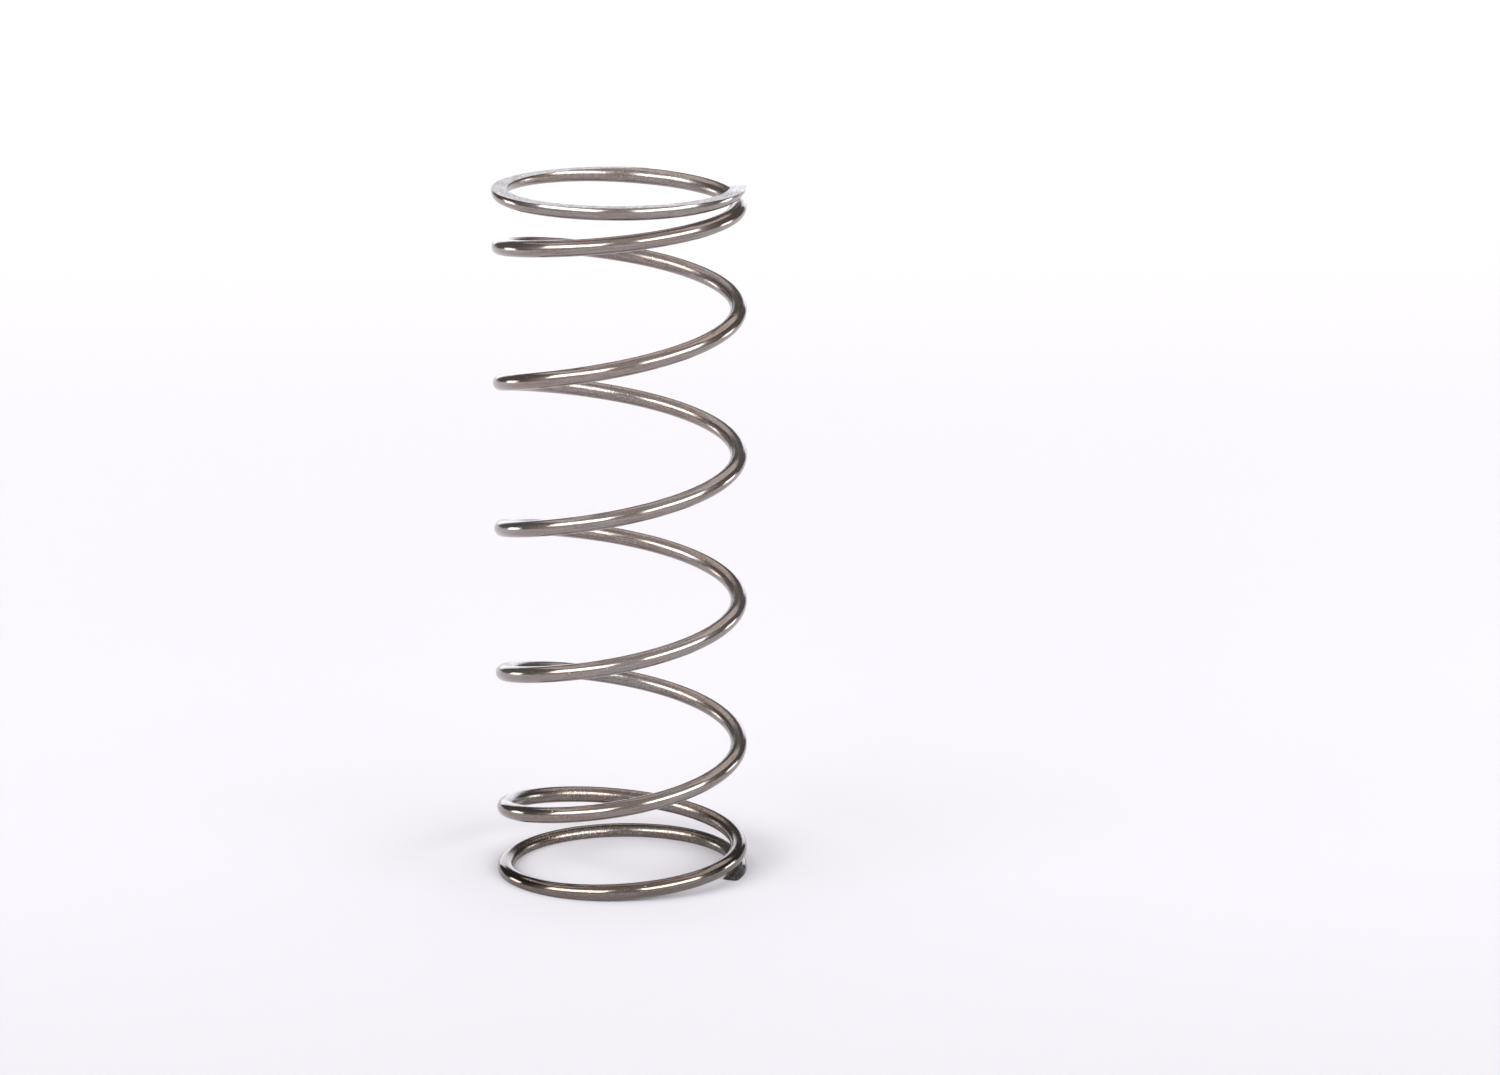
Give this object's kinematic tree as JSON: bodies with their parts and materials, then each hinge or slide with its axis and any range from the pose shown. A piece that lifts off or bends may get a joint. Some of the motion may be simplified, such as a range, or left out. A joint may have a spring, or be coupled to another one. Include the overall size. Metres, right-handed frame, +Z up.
{
  "type": "compression spring",
  "caption": "Right-hand helical compression spring of round steel wire, with closed and ground ends, standing upright and shortening along its axis under load.",
  "frame": {"origin": "on the coil axis, in the plane of the lower ground seat", "axes": "+Z up along the coil axis from the lower seat to the upper seat; +X right and -Y to the front, with the lower wire tip 23 degrees forward of +X"},
  "size_m": [0.0428, 0.0428, 0.1184],
  "materials": {
    "spring_wire": "satin"
  },
  "bodies": {
    "lower_end": {"lower_end_coil": "spring_wire"},
    "upper_end": {"upper_end_coil": "spring_wire"},
    "coil_1_arc_1": {"active_coil_1_arc_1": "spring_wire"},
    "coil_1_arc_2": {"active_coil_1_arc_2": "spring_wire"},
    "coil_1_arc_3": {"active_coil_1_arc_3": "spring_wire"},
    "coil_1_arc_4": {"active_coil_1_arc_4": "spring_wire"},
    "coil_1_arc_5": {"active_coil_1_arc_5": "spring_wire"},
    "coil_1_arc_6": {"active_coil_1_arc_6": "spring_wire"},
    "coil_1_arc_7": {"active_coil_1_arc_7": "spring_wire"},
    "coil_1_arc_8": {"active_coil_1_arc_8": "spring_wire"},
    "coil_2_arc_1": {"active_coil_2_arc_1": "spring_wire"},
    "coil_2_arc_2": {"active_coil_2_arc_2": "spring_wire"},
    "coil_2_arc_3": {"active_coil_2_arc_3": "spring_wire"},
    "coil_2_arc_4": {"active_coil_2_arc_4": "spring_wire"},
    "coil_2_arc_5": {"active_coil_2_arc_5": "spring_wire"},
    "coil_2_arc_6": {"active_coil_2_arc_6": "spring_wire"},
    "coil_2_arc_7": {"active_coil_2_arc_7": "spring_wire"},
    "coil_2_arc_8": {"active_coil_2_arc_8": "spring_wire"},
    "coil_3_arc_1": {"active_coil_3_arc_1": "spring_wire"},
    "coil_3_arc_2": {"active_coil_3_arc_2": "spring_wire"},
    "coil_3_arc_3": {"active_coil_3_arc_3": "spring_wire"},
    "coil_3_arc_4": {"active_coil_3_arc_4": "spring_wire"},
    "coil_3_arc_5": {"active_coil_3_arc_5": "spring_wire"},
    "coil_3_arc_6": {"active_coil_3_arc_6": "spring_wire"},
    "coil_3_arc_7": {"active_coil_3_arc_7": "spring_wire"},
    "coil_3_arc_8": {"active_coil_3_arc_8": "spring_wire"},
    "coil_4_arc_1": {"active_coil_4_arc_1": "spring_wire"},
    "coil_4_arc_2": {"active_coil_4_arc_2": "spring_wire"},
    "coil_4_arc_3": {"active_coil_4_arc_3": "spring_wire"},
    "coil_4_arc_4": {"active_coil_4_arc_4": "spring_wire"},
    "coil_4_arc_5": {"active_coil_4_arc_5": "spring_wire"},
    "coil_4_arc_6": {"active_coil_4_arc_6": "spring_wire"},
    "coil_4_arc_7": {"active_coil_4_arc_7": "spring_wire"},
    "coil_4_arc_8": {"active_coil_4_arc_8": "spring_wire"},
    "coil_5_arc_1": {"active_coil_5_arc_1": "spring_wire"},
    "coil_5_arc_2": {"active_coil_5_arc_2": "spring_wire"},
    "coil_5_arc_3": {"active_coil_5_arc_3": "spring_wire"},
    "coil_5_arc_4": {"active_coil_5_arc_4": "spring_wire"},
    "coil_5_arc_5": {"active_coil_5_arc_5": "spring_wire"},
    "coil_5_arc_6": {"active_coil_5_arc_6": "spring_wire"},
    "coil_5_arc_7": {"active_coil_5_arc_7": "spring_wire"},
    "coil_5_arc_8": {"active_coil_5_arc_8": "spring_wire"}
  },
  "joints": [
    {"name": "compression", "type": "slide", "parent": "lower_end", "child": "upper_end", "axis": [0, 0, 1], "range_m": [-0.09, 0], "stiffness_N_per_m": 1910},
    {"name": "coil_1_arc_1_slide", "type": "slide", "parent": "lower_end", "child": "coil_1_arc_1", "axis": [0, 0, 1], "range_m": [-0.000053, 0]},
    {"name": "coil_1_arc_2_slide", "type": "slide", "parent": "lower_end", "child": "coil_1_arc_2", "axis": [0, 0, 1], "range_m": [-0.000569, 0]},
    {"name": "coil_1_arc_3_slide", "type": "slide", "parent": "lower_end", "child": "coil_1_arc_3", "axis": [0, 0, 1], "range_m": [-0.00175, 0]},
    {"name": "coil_1_arc_4_slide", "type": "slide", "parent": "lower_end", "child": "coil_1_arc_4", "axis": [0, 0, 1], "range_m": [-0.00325, 0]},
    {"name": "coil_1_arc_5_slide", "type": "slide", "parent": "lower_end", "child": "coil_1_arc_5", "axis": [0, 0, 1], "range_m": [-0.005, 0]},
    {"name": "coil_1_arc_6_slide", "type": "slide", "parent": "lower_end", "child": "coil_1_arc_6", "axis": [0, 0, 1], "range_m": [-0.007, 0]},
    {"name": "coil_1_arc_7_slide", "type": "slide", "parent": "lower_end", "child": "coil_1_arc_7", "axis": [0, 0, 1], "range_m": [-0.00924, 0]},
    {"name": "coil_1_arc_8_slide", "type": "slide", "parent": "lower_end", "child": "coil_1_arc_8", "axis": [0, 0, 1], "range_m": [-0.01173, 0]},
    {"name": "coil_2_arc_1_slide", "type": "slide", "parent": "lower_end", "child": "coil_2_arc_1", "axis": [0, 0, 1], "range_m": [-0.01439, 0]},
    {"name": "coil_2_arc_2_slide", "type": "slide", "parent": "lower_end", "child": "coil_2_arc_2", "axis": [0, 0, 1], "range_m": [-0.01705, 0]},
    {"name": "coil_2_arc_3_slide", "type": "slide", "parent": "lower_end", "child": "coil_2_arc_3", "axis": [0, 0, 1], "range_m": [-0.01971, 0]},
    {"name": "coil_2_arc_4_slide", "type": "slide", "parent": "lower_end", "child": "coil_2_arc_4", "axis": [0, 0, 1], "range_m": [-0.02237, 0]},
    {"name": "coil_2_arc_5_slide", "type": "slide", "parent": "lower_end", "child": "coil_2_arc_5", "axis": [0, 0, 1], "range_m": [-0.02504, 0]},
    {"name": "coil_2_arc_6_slide", "type": "slide", "parent": "lower_end", "child": "coil_2_arc_6", "axis": [0, 0, 1], "range_m": [-0.0277, 0]},
    {"name": "coil_2_arc_7_slide", "type": "slide", "parent": "lower_end", "child": "coil_2_arc_7", "axis": [0, 0, 1], "range_m": [-0.03036, 0]},
    {"name": "coil_2_arc_8_slide", "type": "slide", "parent": "lower_end", "child": "coil_2_arc_8", "axis": [0, 0, 1], "range_m": [-0.03302, 0]},
    {"name": "coil_3_arc_1_slide", "type": "slide", "parent": "lower_end", "child": "coil_3_arc_1", "axis": [0, 0, 1], "range_m": [-0.03568, 0]},
    {"name": "coil_3_arc_2_slide", "type": "slide", "parent": "lower_end", "child": "coil_3_arc_2", "axis": [0, 0, 1], "range_m": [-0.03834, 0]},
    {"name": "coil_3_arc_3_slide", "type": "slide", "parent": "lower_end", "child": "coil_3_arc_3", "axis": [0, 0, 1], "range_m": [-0.04101, 0]},
    {"name": "coil_3_arc_4_slide", "type": "slide", "parent": "lower_end", "child": "coil_3_arc_4", "axis": [0, 0, 1], "range_m": [-0.04367, 0]},
    {"name": "coil_3_arc_5_slide", "type": "slide", "parent": "lower_end", "child": "coil_3_arc_5", "axis": [0, 0, 1], "range_m": [-0.04633, 0]},
    {"name": "coil_3_arc_6_slide", "type": "slide", "parent": "lower_end", "child": "coil_3_arc_6", "axis": [0, 0, 1], "range_m": [-0.04899, 0]},
    {"name": "coil_3_arc_7_slide", "type": "slide", "parent": "lower_end", "child": "coil_3_arc_7", "axis": [0, 0, 1], "range_m": [-0.05166, 0]},
    {"name": "coil_3_arc_8_slide", "type": "slide", "parent": "lower_end", "child": "coil_3_arc_8", "axis": [0, 0, 1], "range_m": [-0.05432, 0]},
    {"name": "coil_4_arc_1_slide", "type": "slide", "parent": "lower_end", "child": "coil_4_arc_1", "axis": [0, 0, 1], "range_m": [-0.05698, 0]},
    {"name": "coil_4_arc_2_slide", "type": "slide", "parent": "lower_end", "child": "coil_4_arc_2", "axis": [0, 0, 1], "range_m": [-0.05964, 0]},
    {"name": "coil_4_arc_3_slide", "type": "slide", "parent": "lower_end", "child": "coil_4_arc_3", "axis": [0, 0, 1], "range_m": [-0.0623, 0]},
    {"name": "coil_4_arc_4_slide", "type": "slide", "parent": "lower_end", "child": "coil_4_arc_4", "axis": [0, 0, 1], "range_m": [-0.06497, 0]},
    {"name": "coil_4_arc_5_slide", "type": "slide", "parent": "lower_end", "child": "coil_4_arc_5", "axis": [0, 0, 1], "range_m": [-0.06763, 0]},
    {"name": "coil_4_arc_6_slide", "type": "slide", "parent": "lower_end", "child": "coil_4_arc_6", "axis": [0, 0, 1], "range_m": [-0.07029, 0]},
    {"name": "coil_4_arc_7_slide", "type": "slide", "parent": "lower_end", "child": "coil_4_arc_7", "axis": [0, 0, 1], "range_m": [-0.07295, 0]},
    {"name": "coil_4_arc_8_slide", "type": "slide", "parent": "lower_end", "child": "coil_4_arc_8", "axis": [0, 0, 1], "range_m": [-0.07561, 0]},
    {"name": "coil_5_arc_1_slide", "type": "slide", "parent": "lower_end", "child": "coil_5_arc_1", "axis": [0, 0, 1], "range_m": [-0.07827, 0]},
    {"name": "coil_5_arc_2_slide", "type": "slide", "parent": "lower_end", "child": "coil_5_arc_2", "axis": [0, 0, 1], "range_m": [-0.08076, 0]},
    {"name": "coil_5_arc_3_slide", "type": "slide", "parent": "lower_end", "child": "coil_5_arc_3", "axis": [0, 0, 1], "range_m": [-0.083, 0]},
    {"name": "coil_5_arc_4_slide", "type": "slide", "parent": "lower_end", "child": "coil_5_arc_4", "axis": [0, 0, 1], "range_m": [-0.085, 0]},
    {"name": "coil_5_arc_5_slide", "type": "slide", "parent": "lower_end", "child": "coil_5_arc_5", "axis": [0, 0, 1], "range_m": [-0.08675, 0]},
    {"name": "coil_5_arc_6_slide", "type": "slide", "parent": "lower_end", "child": "coil_5_arc_6", "axis": [0, 0, 1], "range_m": [-0.08825, 0]},
    {"name": "coil_5_arc_7_slide", "type": "slide", "parent": "lower_end", "child": "coil_5_arc_7", "axis": [0, 0, 1], "range_m": [-0.08943, 0]},
    {"name": "coil_5_arc_8_slide", "type": "slide", "parent": "lower_end", "child": "coil_5_arc_8", "axis": [0, 0, 1], "range_m": [-0.08995, 0]}
  ],
  "couplings": [
    {"joint": "coil_1_arc_1_slide", "follows": "compression", "ratio": 0.000587},
    {"joint": "coil_1_arc_2_slide", "follows": "compression", "ratio": 0.006312},
    {"joint": "coil_1_arc_3_slide", "follows": "compression", "ratio": 0.019456},
    {"joint": "coil_1_arc_4_slide", "follows": "compression", "ratio": 0.036154},
    {"joint": "coil_1_arc_5_slide", "follows": "compression", "ratio": 0.055589},
    {"joint": "coil_1_arc_6_slide", "follows": "compression", "ratio": 0.077763},
    {"joint": "coil_1_arc_7_slide", "follows": "compression", "ratio": 0.10268},
    {"joint": "coil_1_arc_8_slide", "follows": "compression", "ratio": 0.13032},
    {"joint": "coil_2_arc_1_slide", "follows": "compression", "ratio": 0.15985},
    {"joint": "coil_2_arc_2_slide", "follows": "compression", "ratio": 0.18942},
    {"joint": "coil_2_arc_3_slide", "follows": "compression", "ratio": 0.219},
    {"joint": "coil_2_arc_4_slide", "follows": "compression", "ratio": 0.24858},
    {"joint": "coil_2_arc_5_slide", "follows": "compression", "ratio": 0.27816},
    {"joint": "coil_2_arc_6_slide", "follows": "compression", "ratio": 0.30774},
    {"joint": "coil_2_arc_7_slide", "follows": "compression", "ratio": 0.33732},
    {"joint": "coil_2_arc_8_slide", "follows": "compression", "ratio": 0.3669},
    {"joint": "coil_3_arc_1_slide", "follows": "compression", "ratio": 0.39648},
    {"joint": "coil_3_arc_2_slide", "follows": "compression", "ratio": 0.42605},
    {"joint": "coil_3_arc_3_slide", "follows": "compression", "ratio": 0.45563},
    {"joint": "coil_3_arc_4_slide", "follows": "compression", "ratio": 0.48521},
    {"joint": "coil_3_arc_5_slide", "follows": "compression", "ratio": 0.51479},
    {"joint": "coil_3_arc_6_slide", "follows": "compression", "ratio": 0.54437},
    {"joint": "coil_3_arc_7_slide", "follows": "compression", "ratio": 0.57395},
    {"joint": "coil_3_arc_8_slide", "follows": "compression", "ratio": 0.60352},
    {"joint": "coil_4_arc_1_slide", "follows": "compression", "ratio": 0.6331},
    {"joint": "coil_4_arc_2_slide", "follows": "compression", "ratio": 0.66268},
    {"joint": "coil_4_arc_3_slide", "follows": "compression", "ratio": 0.69226},
    {"joint": "coil_4_arc_4_slide", "follows": "compression", "ratio": 0.72184},
    {"joint": "coil_4_arc_5_slide", "follows": "compression", "ratio": 0.75142},
    {"joint": "coil_4_arc_6_slide", "follows": "compression", "ratio": 0.781},
    {"joint": "coil_4_arc_7_slide", "follows": "compression", "ratio": 0.81058},
    {"joint": "coil_4_arc_8_slide", "follows": "compression", "ratio": 0.84015},
    {"joint": "coil_5_arc_1_slide", "follows": "compression", "ratio": 0.86968},
    {"joint": "coil_5_arc_2_slide", "follows": "compression", "ratio": 0.89733},
    {"joint": "coil_5_arc_3_slide", "follows": "compression", "ratio": 0.92224},
    {"joint": "coil_5_arc_4_slide", "follows": "compression", "ratio": 0.94441},
    {"joint": "coil_5_arc_5_slide", "follows": "compression", "ratio": 0.96385},
    {"joint": "coil_5_arc_6_slide", "follows": "compression", "ratio": 0.98054},
    {"joint": "coil_5_arc_7_slide", "follows": "compression", "ratio": 0.99369},
    {"joint": "coil_5_arc_8_slide", "follows": "compression", "ratio": 0.99941}
  ]
}
